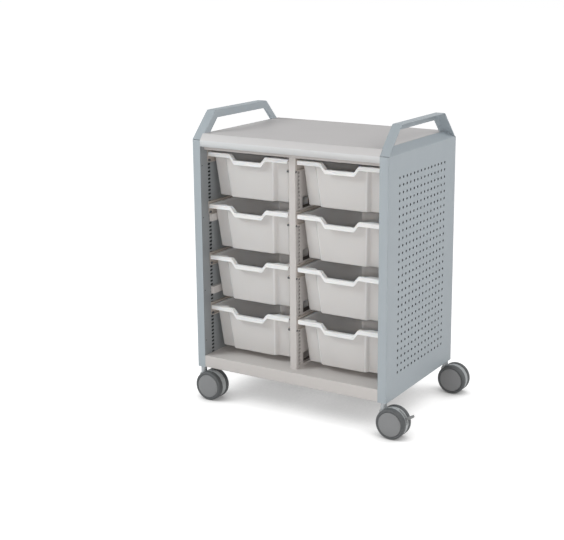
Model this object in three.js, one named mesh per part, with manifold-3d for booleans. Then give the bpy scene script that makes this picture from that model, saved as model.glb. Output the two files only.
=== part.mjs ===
// Classroom tray storage unit: a steel cabinet on four twin-wheel casters, with two columns
// of moulded trays on runners, perforated side panels and a push handle along each side.
// Millimetres, +Z up, +Y to the back, the floor at z = 0.

import * as THREE from 'three';
import { mergeVertices } from 'three/addons/utils/BufferGeometryUtils.js';
import Module from 'manifold-3d';

const wasm = await Module();
wasm.setup();

// Cabinet shell
const cabinetWidth = 724;
const cabinetDepth = 495;
const panelHeight = 782.5;
const sheet = 1.5;
const flangeWidth = 30.7;
const bendRadius = 4;
const bendSteps = 3;
const shoulderRise = 20.5;
const fitGap = 0.3;

// Slotted uprights inside the side panels
const uprightLip = 20;
const uprightTopDrop = 3;
const footPlate = 3;
const footDepth = 68;

// Worktop pan and the rail under its front edge
const worktopShell = 2.5;
const worktopFace = 20.5;
const worktopChamferRun = 16;
const headerRecess = 22;
const headerHeight = 13;
const headerFlange = 20;

// Push handles
const handleWidth = 34;
const handleInset = 0.5;
const handleRise = 89.3;
const handleLegRun = 87.5;
const handleRearInset = 6.5;
const handleSheet = 2;
const handleCheek = 25;

// Bottom shelf, back panel and side straps
const shelfTop = 42;
const shelfLipDrop = 41;
const shelfReturn = 12;
const backInset = 3;
const strapHeight = 24;
const strapDepth = 12;
const strapLength = 410;
const strapRise = 31;
const strapDrop = 1.3;

// Centre divider
const dividerWidth = 24;
const dividerUprightDepth = 44;
const windowLength = 72;
const windowSlots = 3;
const windowRise = 15;

// Tray grid
const slotPitch = 12.55;
const slotsPerTray = 14;
const topTrayDrop = 44.2;
const trayRecess = 35;

// Moulded tray, as wide as its bay less a gap at each side
const traySideGap = 5.15;
const trayDepth = 427;
const trayHeight = 145;
const trayWall = 2.5;
const rimThickness = 3.5;
const rimOverhang = 7.5;
const rimCorner = 4;
const bandHeight = 14;
const bandThickness = 3;
const cornerRecess = 26;
const panelRecess = 14;
const panelHalfWidth = 89;
const panelStepRun = 13;
const bodyCorner = 8;
const sideTaper = 11.5;
const frontTaper = 18;
const rearTaper = 8;
const notchTopWidth = 138;
const notchBottomWidth = 104;
const notchDepth = 21;
const roundSteps = 3;

// Tray runner, an extruded section with a guard above the rim and a ledge below it
const runnerDepth = 11;
const runnerWall = 1.8;
const runnerGuardRise = 10;
const runnerFoot = 33;
const runnerSetback = 1;
const runnerLength = 423;

// Twin-wheel caster
const casterHeight = 111;
const stemInsetX = 15;
const stemInsetY = 14.5;
const stemCollarRadius = 10;
const stemBoltRadius = 6;
const stemBoltLength = 22;
const swivelPinRadius = 5.5;
const swivelPinLength = 38;
const neckTop = 86;
const neckHalfWidth = 10;
const casterTrail = 34;
const hoodRadius = 45;
const hoodThickness = 20;
const wheelRadius = 50;
const wheelWidth = 19;
const wheelDome = 1.5;
const wheelGap = 0.5;
const treadShoulder = 7;
const treadInnerEdge = 1.5;
const axleRadius = 6;
const axleDepth = 14;
const wheelSides = 32;
const pinSides = 16;

// Brake lever, on two casters that stand diagonally
const leverPivotX = 26;
const leverPivotZ = 8;
const leverReach = 50;
const leverTilt = 29;
const leverThickness = 4;
const leverWidth = 10;
const pedalWidth = 13;
const pedalLength = 16;
const leverBossRadius = 5;
const leverPinRadius = 2.5;
const leverPinLength = 19;
const leverSlotMargin = 3;

// Places worked out from the sizes above
const halfWidth = cabinetWidth / 2;
const halfDepth = cabinetDepth / 2;
const panelBottom = casterHeight;
const shoulderZ = panelBottom + panelHeight;
const worktopTop = shoulderZ + shoulderRise;
const worktopBottom = shoulderZ - worktopFace;
const headerBottom = worktopBottom - fitGap - headerHeight;
const shelfTopZ = panelBottom + shelfTop;
const bayOuter = halfWidth - flangeWidth;
const handleInner = halfWidth - handleInset - handleWidth;
const shoulderRun = halfWidth - handleInner - handleSheet - sheet - fitGap;
const trayFront = -halfDepth + trayRecess;
const trayPitch = slotPitch * slotsPerTray;
const topRimZ = shoulderZ - topTrayDrop;
const trayLevels = 1 + Math.floor((topRimZ - trayHeight - shelfTopZ) / trayPitch);
const bayCentre = (dividerWidth / 2 + bayOuter) / 2;
const trayWidth = bayOuter - dividerWidth / 2 - 2 * traySideGap;
const stemX = halfWidth - stemInsetX;
const stemY = halfDepth - stemInsetY;
const backFace = halfDepth - backInset - sheet;

// Top of the tray rims, counted down from the top level
function rimZ(level) {
  return topRimZ - level * trayPitch;
}

const finishes = {
  sidePaint: { color: '#a9b3ba', roughness: 0.45, metalness: 0.25 },
  framePaint: { color: '#c9c6c3', roughness: 0.5, metalness: 0.15 },
  worktopLaminate: { color: '#c2bfbe', roughness: 0.55, metalness: 0 },
  trayPlastic: { color: '#d3d4d4', roughness: 0.4, metalness: 0 },
  runnerPlastic: { color: '#b9b2ab', roughness: 0.5, metalness: 0 },
  stemSteel: { color: '#a9adb0', roughness: 0.35, metalness: 0.8 },
  hoodPlastic: { color: '#8d9192', roughness: 0.45, metalness: 0 },
  wheelPlastic: { color: '#77797a', roughness: 0.5, metalness: 0 },
  leverPlastic: { color: '#4f5356', roughness: 0.5, metalness: 0 },
};

// Solids from three.js geometry, for joins and cuts
function toSolid(geometry) {
  geometry.deleteAttribute('normal');
  geometry.deleteAttribute('uv');
  const merged = mergeVertices(geometry, 1e-4);
  const corners = Array.from(merged.index.array);
  const faces = [];
  for (let i = 0; i < corners.length; i += 3) {
    const [a, b, c] = corners.slice(i, i + 3);
    if (a !== b && b !== c && c !== a) faces.push(a, b, c);
  }
  const vertProperties = merged.attributes.position.array;
  return new wasm.Manifold(new wasm.Mesh({ numProp: 3, vertProperties, triVerts: new Uint32Array(faces) }));
}

function toGeometry(solid) {
  const { vertProperties, triVerts } = solid.getMesh();
  const geometry = new THREE.BufferGeometry();
  geometry.setAttribute('position', new THREE.BufferAttribute(vertProperties, 3));
  geometry.setIndex(new THREE.BufferAttribute(triVerts, 1));
  geometry.computeVertexNormals();
  return geometry;
}

function join(...solids) {
  return solids.reduce((whole, piece) => whole.add(piece));
}

function piece(name, solid, finish) {
  const mesh = new THREE.Mesh(toGeometry(solid), new THREE.MeshStandardMaterial(finishes[finish]));
  mesh.name = name;
  return mesh;
}

// Outlines
function span(a, b) {
  return a < b ? [a, b] : [b, a];
}

function points(pairs) {
  return pairs.map(([a, b]) => new THREE.Vector2(a, b));
}

function arc(centreX, centreY, radius, fromDegrees, toDegrees, steps) {
  return Array.from({ length: steps + 1 }, (_, i) => {
    const angle = THREE.MathUtils.degToRad(fromDegrees + ((toDegrees - fromDegrees) * i) / steps);
    return new THREE.Vector2(centreX + radius * Math.cos(angle), centreY + radius * Math.sin(angle));
  });
}

// A mirrored path runs the other way, so that the same side of it stays inside
function mirrorX(path) {
  return path.map((p) => new THREE.Vector2(-p.x, p.y)).reverse();
}

function mirrorY(path) {
  return path.map((p) => new THREE.Vector2(p.x, -p.y)).reverse();
}

// The path moved to its left by a distance, with mitred corners
function offsetPath(path, distance) {
  const normals = path.slice(1).map((p, i) => {
    const along = p.clone().sub(path[i]).normalize();
    return new THREE.Vector2(-along.y, along.x);
  });
  return path.map((p, i) => {
    const before = normals[Math.max(i - 1, 0)];
    const after = normals[Math.min(i, normals.length - 1)];
    const mitre = before.clone().add(after).multiplyScalar(1 / (1 + before.dot(after)));
    return p.clone().addScaledVector(mitre, distance);
  });
}

// Section of a folded sheet: the path is one face, the other lies to its left
function foldedSheet(path, thickness) {
  return new THREE.Shape([...path, ...offsetPath(path, thickness).reverse()]);
}

// Extrusions of a section along one axis, between two places on it
const alongX = new THREE.Matrix4().makeBasis(
  new THREE.Vector3(0, 1, 0), new THREE.Vector3(0, 0, 1), new THREE.Vector3(1, 0, 0));
const alongY = new THREE.Matrix4().makeBasis(
  new THREE.Vector3(1, 0, 0), new THREE.Vector3(0, 0, 1), new THREE.Vector3(0, -1, 0));

function extrude(shape, depth) {
  return new THREE.ExtrudeGeometry(shape, { depth, bevelEnabled: false, curveSegments: 1 });
}

function extrudeX(shape, x0, x1) {
  return toSolid(extrude(shape, x1 - x0).applyMatrix4(alongX).translate(x0, 0, 0));
}

function extrudeY(shape, y0, y1) {
  return toSolid(extrude(shape, y1 - y0).applyMatrix4(alongY).translate(0, y1, 0));
}

function extrudeZ(shape, z0, z1) {
  return toSolid(extrude(shape, z1 - z0).translate(0, 0, z0));
}

function block(x0, x1, y0, y1, z0, z1) {
  const geometry = new THREE.BoxGeometry(x1 - x0, y1 - y0, z1 - z0);
  return toSolid(geometry.translate((x0 + x1) / 2, (y0 + y1) / 2, (z0 + z1) / 2));
}

function cylinderZ(radius, x, y, z0, z1) {
  const geometry = new THREE.CylinderGeometry(radius, radius, z1 - z0, pinSides);
  return toSolid(geometry.rotateX(Math.PI / 2).translate(x, y, (z0 + z1) / 2));
}

function cylinderY(radius, x, z, y0, y1) {
  const geometry = new THREE.CylinderGeometry(radius, radius, y1 - y0, pinSides);
  return toSolid(geometry.translate(x, (y0 + y1) / 2, z));
}

// Closed solid between two outlines with the same number of points
function loft(lower, lowerZ, upper, upperZ) {
  const count = lower.length;
  const position = [];
  lower.forEach((p) => position.push(p.x, p.y, lowerZ));
  upper.forEach((p) => position.push(p.x, p.y, upperZ));
  const index = [];
  for (let i = 0; i < count; i += 1) {
    const next = (i + 1) % count;
    index.push(i, next, count + next, i, count + next, count + i);
  }
  THREE.ShapeUtils.triangulateShape(lower, []).forEach(([a, b, c]) => index.push(a, c, b));
  THREE.ShapeUtils.triangulateShape(upper, []).forEach(([a, b, c]) => {
    index.push(count + a, count + b, count + c);
  });
  const geometry = new THREE.BufferGeometry();
  geometry.setAttribute('position', new THREE.Float32BufferAttribute(position, 3));
  geometry.setIndex(index);
  return toSolid(geometry);
}

// Centre line of a handle's outer face, from below the rear shoulder to below the front one
function handlePath() {
  const slope = handleRise / handleLegRun;
  const barZ = shoulderZ + handleRise;
  const rearY = halfDepth - handleRearInset;
  const footZ = shoulderZ - handleCheek * slope;
  return points([
    [rearY + handleCheek, footZ], [rearY - handleLegRun, barZ],
    [-halfDepth + handleLegRun, barZ], [-halfDepth - handleCheek, footZ],
  ]);
}

// Side panel: one sheet bent into a front flange, a skin, a rear flange and a sloped shoulder
function sidePanel(side) {
  const wall = [
    new THREE.Vector2(bayOuter, -halfDepth),
    ...arc(halfWidth - bendRadius, -halfDepth + bendRadius, bendRadius, -90, 0, bendSteps),
    ...arc(halfWidth - bendRadius, halfDepth - bendRadius, bendRadius, 0, 90, bendSteps),
    new THREE.Vector2(bayOuter, halfDepth),
  ];
  const shoulder = points([
    [halfWidth, shoulderZ - bendRadius], [halfWidth, shoulderZ], [halfWidth - shoulderRun, worktopTop],
  ]);
  const sided = (path) => (side < 0 ? mirrorX(path) : path);
  const body = extrudeZ(foldedSheet(sided(wall), sheet), panelBottom, shoulderZ);
  const reach = halfDepth - bendRadius;
  const slope = extrudeY(foldedSheet(sided(shoulder), sheet), -reach, reach);
  const betweenLegs = new THREE.Shape(offsetPath(handlePath(), handleSheet + fitGap));
  return join(body, slope.intersect(extrudeX(betweenLegs, ...span(0, cabinetWidth * side))));
}

// Slotted upright: a wide channel behind one flange of the side panel, half of the bay's inner wall,
// with a foot plate for the caster
function upright(side, end) {
  const lipY = halfDepth - sheet;
  const innerY = fitGap / 2;
  const skinX = halfWidth - sheet - fitGap;
  const front = points([
    [skinX, -innerY], [bayOuter, -innerY], [bayOuter, -lipY], [bayOuter + uprightLip, -lipY],
  ]);
  const ended = end > 0 ? mirrorY(front) : front;
  const path = side < 0 ? mirrorX(ended) : ended;
  const channel = extrudeZ(foldedSheet(path, sheet), panelBottom, shoulderZ - uprightTopDrop);
  const weld = sheet / 2;
  const plateX = span((bayOuter + weld) * side, skinX * side);
  const plateY = span((halfDepth - footDepth) * end, (halfDepth - bendRadius) * end);
  const plate = block(...plateX, ...plateY, panelBottom, panelBottom + footPlate);
  const hole = cylinderZ(stemBoltRadius + fitGap, stemX * side, stemY * end,
    panelBottom - footPlate, panelBottom + 2 * footPlate);
  return join(channel, plate).subtract(hole);
}

// Worktop: a pan with chamfered front and rear edges, cut back at the sides for the handles
function worktop() {
  const outline = points([
    [halfDepth, worktopBottom], [halfDepth, shoulderZ], [halfDepth - worktopChamferRun, worktopTop],
    [-halfDepth + worktopChamferRun, worktopTop], [-halfDepth, shoulderZ], [-halfDepth, worktopBottom],
  ]);
  const topHalf = handleInner - fitGap;
  const rimHalf = bayOuter - fitGap;
  const upper = extrudeX(new THREE.Shape(outline), -topHalf, topHalf);
  const rim = block(-rimHalf, rimHalf, -halfDepth, halfDepth, worktopBottom, shoulderZ);
  const inside = offsetPath(outline, worktopShell);
  const below = worktopBottom - worktopShell;
  const mouth = points([[inside.at(-1).x, below], [inside[0].x, below]]);
  const hollowHalf = topHalf - worktopShell;
  const hollow = extrudeX(new THREE.Shape([...inside, ...mouth]), -hollowHalf, hollowHalf);
  return join(upper, rim).subtract(hollow);
}

// Header rail: a channel under the front edge of the worktop, open to the back
function headerRail() {
  const front = -halfDepth + headerRecess;
  const top = headerBottom + headerHeight;
  const path = points([
    [front + headerFlange, top], [front, top], [front, headerBottom], [front + headerFlange, headerBottom],
  ]);
  return extrudeX(foldedSheet(path, sheet), -bayOuter + fitGap, bayOuter - fitGap);
}

// Push handle: an angle bent into two legs and a bar, standing on the shoulder of the side panel,
// with its cheek towards the worktop
function handle(side) {
  const [x0, x1] = span((halfWidth - handleInset) * side, handleInner * side);
  const ribbon = extrudeX(foldedSheet(handlePath(), handleSheet), x0, x1);
  const cheekX = span(handleInner * side, (handleInner + handleSheet) * side);
  const cheek = extrudeX(foldedSheet(handlePath(), handleCheek), ...cheekX);
  const standing = block(x0, x1, -halfDepth, halfDepth, shoulderZ, shoulderZ + handleRise);
  return join(ribbon, cheek).intersect(standing);
}

// Bottom shelf: a pan with a lip and a return along its front and rear edges
function bottomShelf() {
  const lipZ = shelfTopZ - shelfLipDrop;
  const path = points([
    [halfDepth - shelfReturn, lipZ], [halfDepth, lipZ], [halfDepth, shelfTopZ],
    [-halfDepth, shelfTopZ], [-halfDepth, lipZ], [-halfDepth + shelfReturn, lipZ],
  ]);
  return extrudeX(foldedSheet(path, sheet), -bayOuter + fitGap, bayOuter - fitGap);
}

function backPanel() {
  const half = bayOuter - fitGap;
  return block(-half, half, backFace, backFace + sheet, shelfTopZ, worktopBottom - fitGap);
}

// Side strap: a shallow box-shaped stiffener across two uprights, open towards the panel
function sideStrap(side, base) {
  const wallX = (bayOuter - fitGap) * side;
  const faceX = wallX - strapDepth * side;
  const half = strapLength / 2;
  const outside = block(...span(faceX, wallX), -half, half, base, base + strapHeight);
  const hollow = block(...span(faceX + sheet * side, wallX + sheet * side), -half + sheet, half - sheet,
    base + sheet, base + strapHeight - sheet);
  return outside.subtract(hollow);
}

// Centre divider: a hollow upright sheet box with windows under the tray bottoms
function centreDivider() {
  const half = dividerWidth / 2;
  const depth = backFace - fitGap - trayFront;
  const section = new THREE.Shape(points([[-half, 0], [half, 0], [half, depth], [-half, depth]]));
  const core = half - sheet;
  section.holes.push(new THREE.Path(points([
    [-core, sheet], [-core, depth - sheet], [core, depth - sheet], [core, sheet],
  ])));
  const box = extrudeZ(section, shelfTopZ, headerBottom - fitGap).translate([0, trayFront, 0]);
  const frontWindow = trayFront + dividerUprightDepth;
  const rearWindow = trayFront + depth - dividerUprightDepth - windowLength;
  const windows = [];
  for (let level = 1; level <= trayLevels; level += 1) {
    const sill = rimZ(level) + windowRise;
    const head = sill + windowSlots * slotPitch;
    [frontWindow, rearWindow].forEach((y) => {
      windows.push(block(-dividerWidth, dividerWidth, y, y + windowLength, sill, head));
    });
  }
  return box.subtract(join(...windows));
}

// Tray body outline at a given share of its drop, drawn in by a wall thickness
function trayOutline(drop, inset) {
  const half = trayWidth / 2 - rimOverhang - sideTaper * drop - inset;
  const corner = cornerRecess + frontTaper * drop + inset;
  const panel = panelRecess + frontTaper * drop + inset;
  const panelHalf = panelHalfWidth - sideTaper * drop - inset;
  const stepHalf = panelHalf + panelStepRun;
  const rear = trayDepth - rimOverhang - rearTaper * drop - inset;
  const radius = bodyCorner - inset;
  return [
    ...points([[-stepHalf, corner], [-panelHalf, panel], [panelHalf, panel], [stepHalf, corner]]),
    ...arc(half - radius, corner + radius, radius, -90, 0, roundSteps),
    ...arc(half - radius, rear - radius, radius, 0, 90, roundSteps),
    ...arc(-half + radius, rear - radius, radius, 90, 180, roundSteps),
    ...arc(-half + radius, corner + radius, radius, 180, 270, roundSteps),
  ];
}

// Tray: a tapered tub with a proud front panel, a flat rim and a front band that dips in a finger
// notch. Its own origin is the middle of the rim's front edge, at the top of the rim.
function tray() {
  const half = trayWidth / 2;
  const rimOutline = new THREE.Shape([
    ...arc(half - rimCorner, rimCorner, rimCorner, -90, 0, roundSteps),
    ...arc(half - rimCorner, trayDepth - rimCorner, rimCorner, 0, 90, roundSteps),
    ...arc(-half + rimCorner, trayDepth - rimCorner, rimCorner, 90, 180, roundSteps),
    ...arc(-half + rimCorner, rimCorner, rimCorner, 180, 270, roundSteps),
  ]);
  const outside = loft(trayOutline(1, 0), -trayHeight, trayOutline(0, 0), 0);
  const rim = extrudeZ(rimOutline, -rimThickness, 0);
  const floorDrop = 1 - trayWall / trayHeight;
  const floor = trayOutline(floorDrop, trayWall);
  const hollow = loft(floor, -trayHeight + trayWall, trayOutline(0, trayWall), trayWall);
  const notchTop = notchTopWidth / 2;
  const notchBottom = notchBottomWidth / 2;
  const notchPath = points([
    [notchTop, 0], [notchBottom, -notchDepth], [-notchBottom, -notchDepth], [-notchTop, 0],
  ]);
  const above = points([[-notchTop, trayWall], [notchTop, trayWall]]);
  const notch = extrudeY(new THREE.Shape([...notchPath, ...above]), -cornerRecess, cornerRecess + bandHeight);
  const tub = join(outside, rim).subtract(hollow).subtract(notch);
  const lipDepth = panelRecess + trayWall + (frontTaper * notchDepth) / trayHeight;
  const notchLip = extrudeY(foldedSheet(notchPath, rimThickness), 0, lipDepth);
  const bandEnd = half - rimCorner;
  const bandPath = [new THREE.Vector2(bandEnd, 0), ...notchPath, new THREE.Vector2(-bandEnd, 0)];
  const band = extrudeY(foldedSheet(bandPath, bandHeight), 0, bandThickness);
  return join(tub, notchLip, band);
}

// Tray runner, drawn for the wall at +X of a bay: its own origin is the top of the tray rim, at the wall
function runner(wallSide) {
  const wall = -fitGap;
  const tip = -runnerDepth;
  const web = wall - runnerWall;
  const ledge = -rimThickness - fitGap;
  const section = points([
    [wall, -runnerFoot], [wall, runnerGuardRise], [tip, runnerGuardRise], [tip, runnerGuardRise - runnerWall],
    [web, runnerGuardRise - runnerWall], [web, ledge], [tip, ledge], [tip, ledge - runnerWall],
    [web, ledge - runnerWall], [web, -runnerFoot + runnerWall], [tip, -runnerFoot + runnerWall],
    [tip, -runnerFoot],
  ]);
  const front = trayFront + bandThickness + runnerSetback;
  return extrudeY(new THREE.Shape(wallSide < 0 ? mirrorX(section) : section), front, front + runnerLength);
}

// Solid of revolution about Z, from a profile of radius and height that meets the axis at both ends
function revolve(profile, sides) {
  const turn = new THREE.LatheGeometry(profile, sides, Math.PI / sides);
  return toSolid(turn.rotateX(Math.PI / 2));
}

// Caster stem: a bolt through the foot plate, a collar below it and the pin that the hood turns on
function casterStem() {
  return revolve(points([
    [0, neckTop - swivelPinLength], [swivelPinRadius, neckTop - swivelPinLength],
    [swivelPinRadius, neckTop + fitGap], [stemCollarRadius, neckTop + fitGap],
    [stemCollarRadius, panelBottom], [stemBoltRadius, panelBottom],
    [stemBoltRadius, panelBottom + stemBoltLength], [0, panelBottom + stemBoltLength],
  ]), pinSides);
}

// Caster hood: a disc between the wheels with a neck on the swivel pin and an axle through it.
// Its own origin is the swivel axis at floor level.
function casterHood(braked) {
  const clear = stemCollarRadius + 2 * fitGap;
  const riseAt = (x) => wheelRadius + Math.sqrt(hoodRadius ** 2 - (x - casterTrail) ** 2);
  const angleAt = (x) => THREE.MathUtils.radToDeg(Math.acos((x - casterTrail) / hoodRadius));
  const outline = new THREE.Shape([
    new THREE.Vector2(-neckHalfWidth, neckTop),
    ...arc(casterTrail, wheelRadius, hoodRadius, angleAt(-neckHalfWidth), 360 + angleAt(clear), wheelSides),
    new THREE.Vector2(clear, neckTop),
  ]);
  const half = hoodThickness / 2;
  const disc = extrudeY(outline, -half, half);
  const bore = cylinderZ(swivelPinRadius + fitGap, 0, 0, neckTop - swivelPinLength - fitGap, riseAt(clear));
  const axleEnd = half + wheelGap + axleDepth - fitGap;
  const axle = cylinderY(axleRadius, casterTrail, wheelRadius, -axleEnd, axleEnd);
  const hood = join(disc.subtract(bore), axle);
  if (!braked) return hood;
  const slotHalf = leverWidth / 2 + fitGap;
  const slotReach = leverBossRadius + leverSlotMargin;
  const slotX = casterTrail + leverPivotX - slotReach;
  const slotZ = wheelRadius + leverPivotZ - slotReach;
  const slot = block(slotX, slotX + hoodRadius, -slotHalf, slotHalf, slotZ, slotZ + hoodRadius);
  const pivot = cylinderY(leverPinRadius + fitGap, casterTrail + leverPivotX, wheelRadius + leverPivotZ,
    -hoodThickness, hoodThickness);
  return hood.subtract(slot).subtract(pivot);
}

// Caster wheel: a blind hub bore, a flat-sided core and a rounded tread, with its axle along Z
function casterWheel() {
  const flat = Math.cos(Math.PI / wheelSides);
  const tread = wheelRadius / flat;
  const bore = axleRadius + fitGap;
  return revolve([
    ...points([[0, axleDepth], [bore, axleDepth], [bore, 0]]),
    ...points([[tread - treadInnerEdge, 0], [tread, treadInnerEdge]]),
    ...arc(tread - treadShoulder, wheelWidth - treadShoulder, treadShoulder, 0, 90, roundSteps),
    new THREE.Vector2(0, wheelWidth + wheelDome),
  ], wheelSides);
}

// Brake lever: a boss on its pin and a raised arm out to a wider pedal. Its own origin is the pin's axis.
function brakeLever() {
  const arm = leverThickness / 2;
  const halfArm = leverWidth / 2;
  const halfPedal = pedalWidth / 2;
  const boss = cylinderY(leverBossRadius, 0, 0, -halfArm, halfArm);
  const bar = block(0, leverReach, -halfArm, halfArm, -arm, arm);
  const pedal = block(leverReach - pedalLength, leverReach, -halfPedal, halfPedal, -arm, arm);
  const pin = cylinderY(leverPinRadius, 0, 0, -leverPinLength / 2, leverPinLength / 2);
  return join(boss, bar, pedal, pin).rotate([0, -leverTilt, 0]);
}

// Assembly
const unit = new THREE.Group();
const sides = { left: -1, right: 1 };
const ends = { front: -1, rear: 1 };
const strapBases = {
  lower: rimZ(trayLevels - 1) + runnerGuardRise + strapRise,
  upper: rimZ(1) - runnerFoot - strapDrop - strapHeight,
};

unit.add(piece('worktop', worktop(), 'worktopLaminate'));
unit.add(piece('header_rail', headerRail(), 'framePaint'));
unit.add(piece('bottom_shelf', bottomShelf(), 'framePaint'));
unit.add(piece('back_panel', backPanel(), 'framePaint'));
unit.add(piece('centre_divider', centreDivider(), 'framePaint'));

Object.entries(sides).forEach(([sideName, side]) => {
  unit.add(piece(`${sideName}_side_panel`, sidePanel(side), 'sidePaint'));
  unit.add(piece(`${sideName}_handle`, handle(side), 'sidePaint'));
  Object.entries(strapBases).forEach(([levelName, base]) => {
    unit.add(piece(`${sideName}_${levelName}_strap`, sideStrap(side, base), 'framePaint'));
  });
  Object.entries(ends).forEach(([endName, end]) => {
    unit.add(piece(`${endName}_${sideName}_upright`, upright(side, end), 'sidePaint'));
  });
});

Object.entries(sides).forEach(([sideName, side]) => {
  for (let level = 0; level < trayLevels; level += 1) {
    const row = level + 1;
    const drawer = piece(`${sideName}_tray_${row}`, tray(), 'trayPlastic');
    drawer.position.set(bayCentre * side, trayFront, rimZ(level));
    unit.add(drawer);
    const outer = piece(`${sideName}_outer_runner_${row}`, runner(side), 'runnerPlastic');
    outer.position.set(bayOuter * side, 0, rimZ(level));
    unit.add(outer);
    const inner = piece(`${sideName}_inner_runner_${row}`, runner(-side), 'runnerPlastic');
    inner.position.set((dividerWidth / 2) * side, 0, rimZ(level));
    unit.add(inner);
  }
});

Object.entries(ends).forEach(([endName, end]) => {
  Object.entries(sides).forEach(([sideName, side]) => {
    const place = `${endName}_${sideName}`;
    const braked = end * side < 0;
    const caster = new THREE.Group();
    caster.position.set(stemX * side, stemY * end, 0);
    caster.add(piece(`${place}_caster_stem`, casterStem(), 'stemSteel'));
    caster.add(piece(`${place}_caster_hood`, casterHood(braked), 'hoodPlastic'));
    Object.entries(ends).forEach(([faceName, face]) => {
      const wheel = piece(`${place}_caster_${faceName}_wheel`, casterWheel(), 'wheelPlastic');
      wheel.rotation.x = (-face * Math.PI) / 2;
      wheel.position.set(casterTrail, face * (hoodThickness / 2 + wheelGap), wheelRadius);
      caster.add(wheel);
    });
    if (braked) {
      const lever = piece(`${place}_brake_lever`, brakeLever(), 'leverPlastic');
      lever.position.set(casterTrail + leverPivotX, 0, wheelRadius + leverPivotZ);
      caster.add(lever);
    }
    unit.add(caster);
  });
});

// The origin lies on the floor under the middle of the whole unit, casters and levers included
const group = new THREE.Group();
group.add(unit);
unit.position.x = -new THREE.Box3().setFromObject(unit).getCenter(new THREE.Vector3()).x;

export default group;
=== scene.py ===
"""Looks of a classroom tray storage unit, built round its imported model.

Metres, +Z up, +Y to the back, the floor at z = 0. Sizes are written in millimetres times MM.
"""

import math

import bmesh
import bpy
from mathutils import Matrix, Vector


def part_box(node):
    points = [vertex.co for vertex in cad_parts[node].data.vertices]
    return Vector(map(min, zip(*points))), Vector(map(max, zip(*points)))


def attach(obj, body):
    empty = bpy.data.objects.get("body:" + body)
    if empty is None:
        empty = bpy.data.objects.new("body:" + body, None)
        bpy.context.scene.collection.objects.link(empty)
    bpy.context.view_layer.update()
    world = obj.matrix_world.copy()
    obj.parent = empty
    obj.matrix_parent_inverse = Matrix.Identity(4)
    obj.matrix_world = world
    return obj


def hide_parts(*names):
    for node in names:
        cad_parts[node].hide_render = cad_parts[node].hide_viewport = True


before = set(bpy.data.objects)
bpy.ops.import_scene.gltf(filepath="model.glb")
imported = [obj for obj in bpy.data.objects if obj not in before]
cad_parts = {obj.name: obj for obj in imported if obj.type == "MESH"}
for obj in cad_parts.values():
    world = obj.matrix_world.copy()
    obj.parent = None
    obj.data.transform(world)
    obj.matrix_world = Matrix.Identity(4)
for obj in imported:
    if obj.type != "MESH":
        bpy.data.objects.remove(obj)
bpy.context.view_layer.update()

MM = 0.001

# Camera at the photograph's place, for a picture of 564 by 540
CAMERA_AZIMUTH = 29.77
CAMERA_ELEVATION = 13.14
CAMERA_DISTANCE = 4006 * MM
CAMERA_AIM = Vector((18.6, 0, 570)) * MM
CAMERA_LENS = 75.98
CAMERA_SENSOR = 36
CAMERA_SHIFT = (-0.0855, -0.0643)

# Studio: azimuth, elevation, level, spread and tint of each round soft box, with angles in degrees.
# The level is what the box gives a surface that faces it.
LIGHTS = (("key", -48, 35, 0.47, 24, "#fcffff"), ("side", 120, 38, 0.31, 36, "#ffffff"),
          ("right", 62, 25, 0.10, 40, "#fffaf6"), ("fill", 29, 13, 0.28, 4, "#fff8f4"))
LIGHT_DISTANCE = 4000 * MM
LIGHT_AIM = 550 * MM
SKY_LEVEL = 0.09

# Floor: its tone as the unit sees it and as the camera does, and its glow in full shade and in the open.
# A pair of shades is the open share of a point's sky at which the glow is lowest, and at which it is full.
FLOOR_REACH = 30
FLOOR_TONE = 0.93
FLOOR_SEEN = 0.35
FLOOR_GLOW = (0.28, 1.0)
FLOOR_SHADE_REACH = 320 * MM
FLOOR_SHADE = (0.12, 0.74)
CONTACT_REACH = 90 * MM
CONTACT_SHADE = (0.3, 0.92)
CONTACT_GLOW = (0.5, 1.0)

# Places of the main pieces, from the frame
worktop_low, worktop_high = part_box("worktop")
panel_low, panel_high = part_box("right_side_panel")
upright_low, upright_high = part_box("front_right_upright")
divider_low, divider_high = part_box("centre_divider")
shelf_low, shelf_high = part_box("bottom_shelf")
header_low, header_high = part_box("header_rail")
handle_low, handle_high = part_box("right_handle")
CENTRE = (worktop_low.x + worktop_high.x) / 2
HALF_WIDTH = panel_high.x - CENTRE
FRONT, REAR = panel_low.y, panel_high.y
PANEL_BOTTOM, WORKTOP_TOP = panel_low.z, panel_high.z
WORKTOP_BOTTOM = worktop_low.z
SHOULDER = handle_low.z
BAY = upright_low.x - CENTRE
SIDES = {"left": -1, "right": 1}
ENDS = {"front": -1, "rear": 1}
LEVELS = (1, 2, 3, 4)

# Folded steel
SHEET = 1.5 * MM
FIT_GAP = 0.3 * MM
SEAM = 0.02 * MM
PANEL_BEND = 4 * MM
TIGHT_BEND = 2.5 * MM
BEND_STEPS = 4
WORKTOP_CHAMFER = 16 * MM
WORKTOP_SHELL = 2.5 * MM
WORKTOP_EDGE = 1.5 * MM
WORKTOP_EAR = 4 * MM
# Share of the worktop's painted light on its chamfers
CHAMFER_PAINTED_LIGHT = 0.3
HANDLE_LEG_RUN = 87.5 * MM
HANDLE_CHEEK = 25 * MM
HANDLE_SHEET = 2 * MM
HANDLE_BEND = 8 * MM
HANDLE_INNER_BEND = 1 * MM
HANDLE_EDGE = 3 * MM
HANDLE_SEAM = 1.2 * MM
SHOULDER_RUN = HALF_WIDTH - (handle_low.x - CENTRE) - HANDLE_SHEET - SHEET - FIT_GAP
FOOT_DEPTH = 68 * MM
SHELF_RETURN = 12 * MM
UPRIGHT_LIP = 20 * MM
STRAP_EDGE = 0.6 * MM
BACK_EDGE = 0.5 * MM

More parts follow.
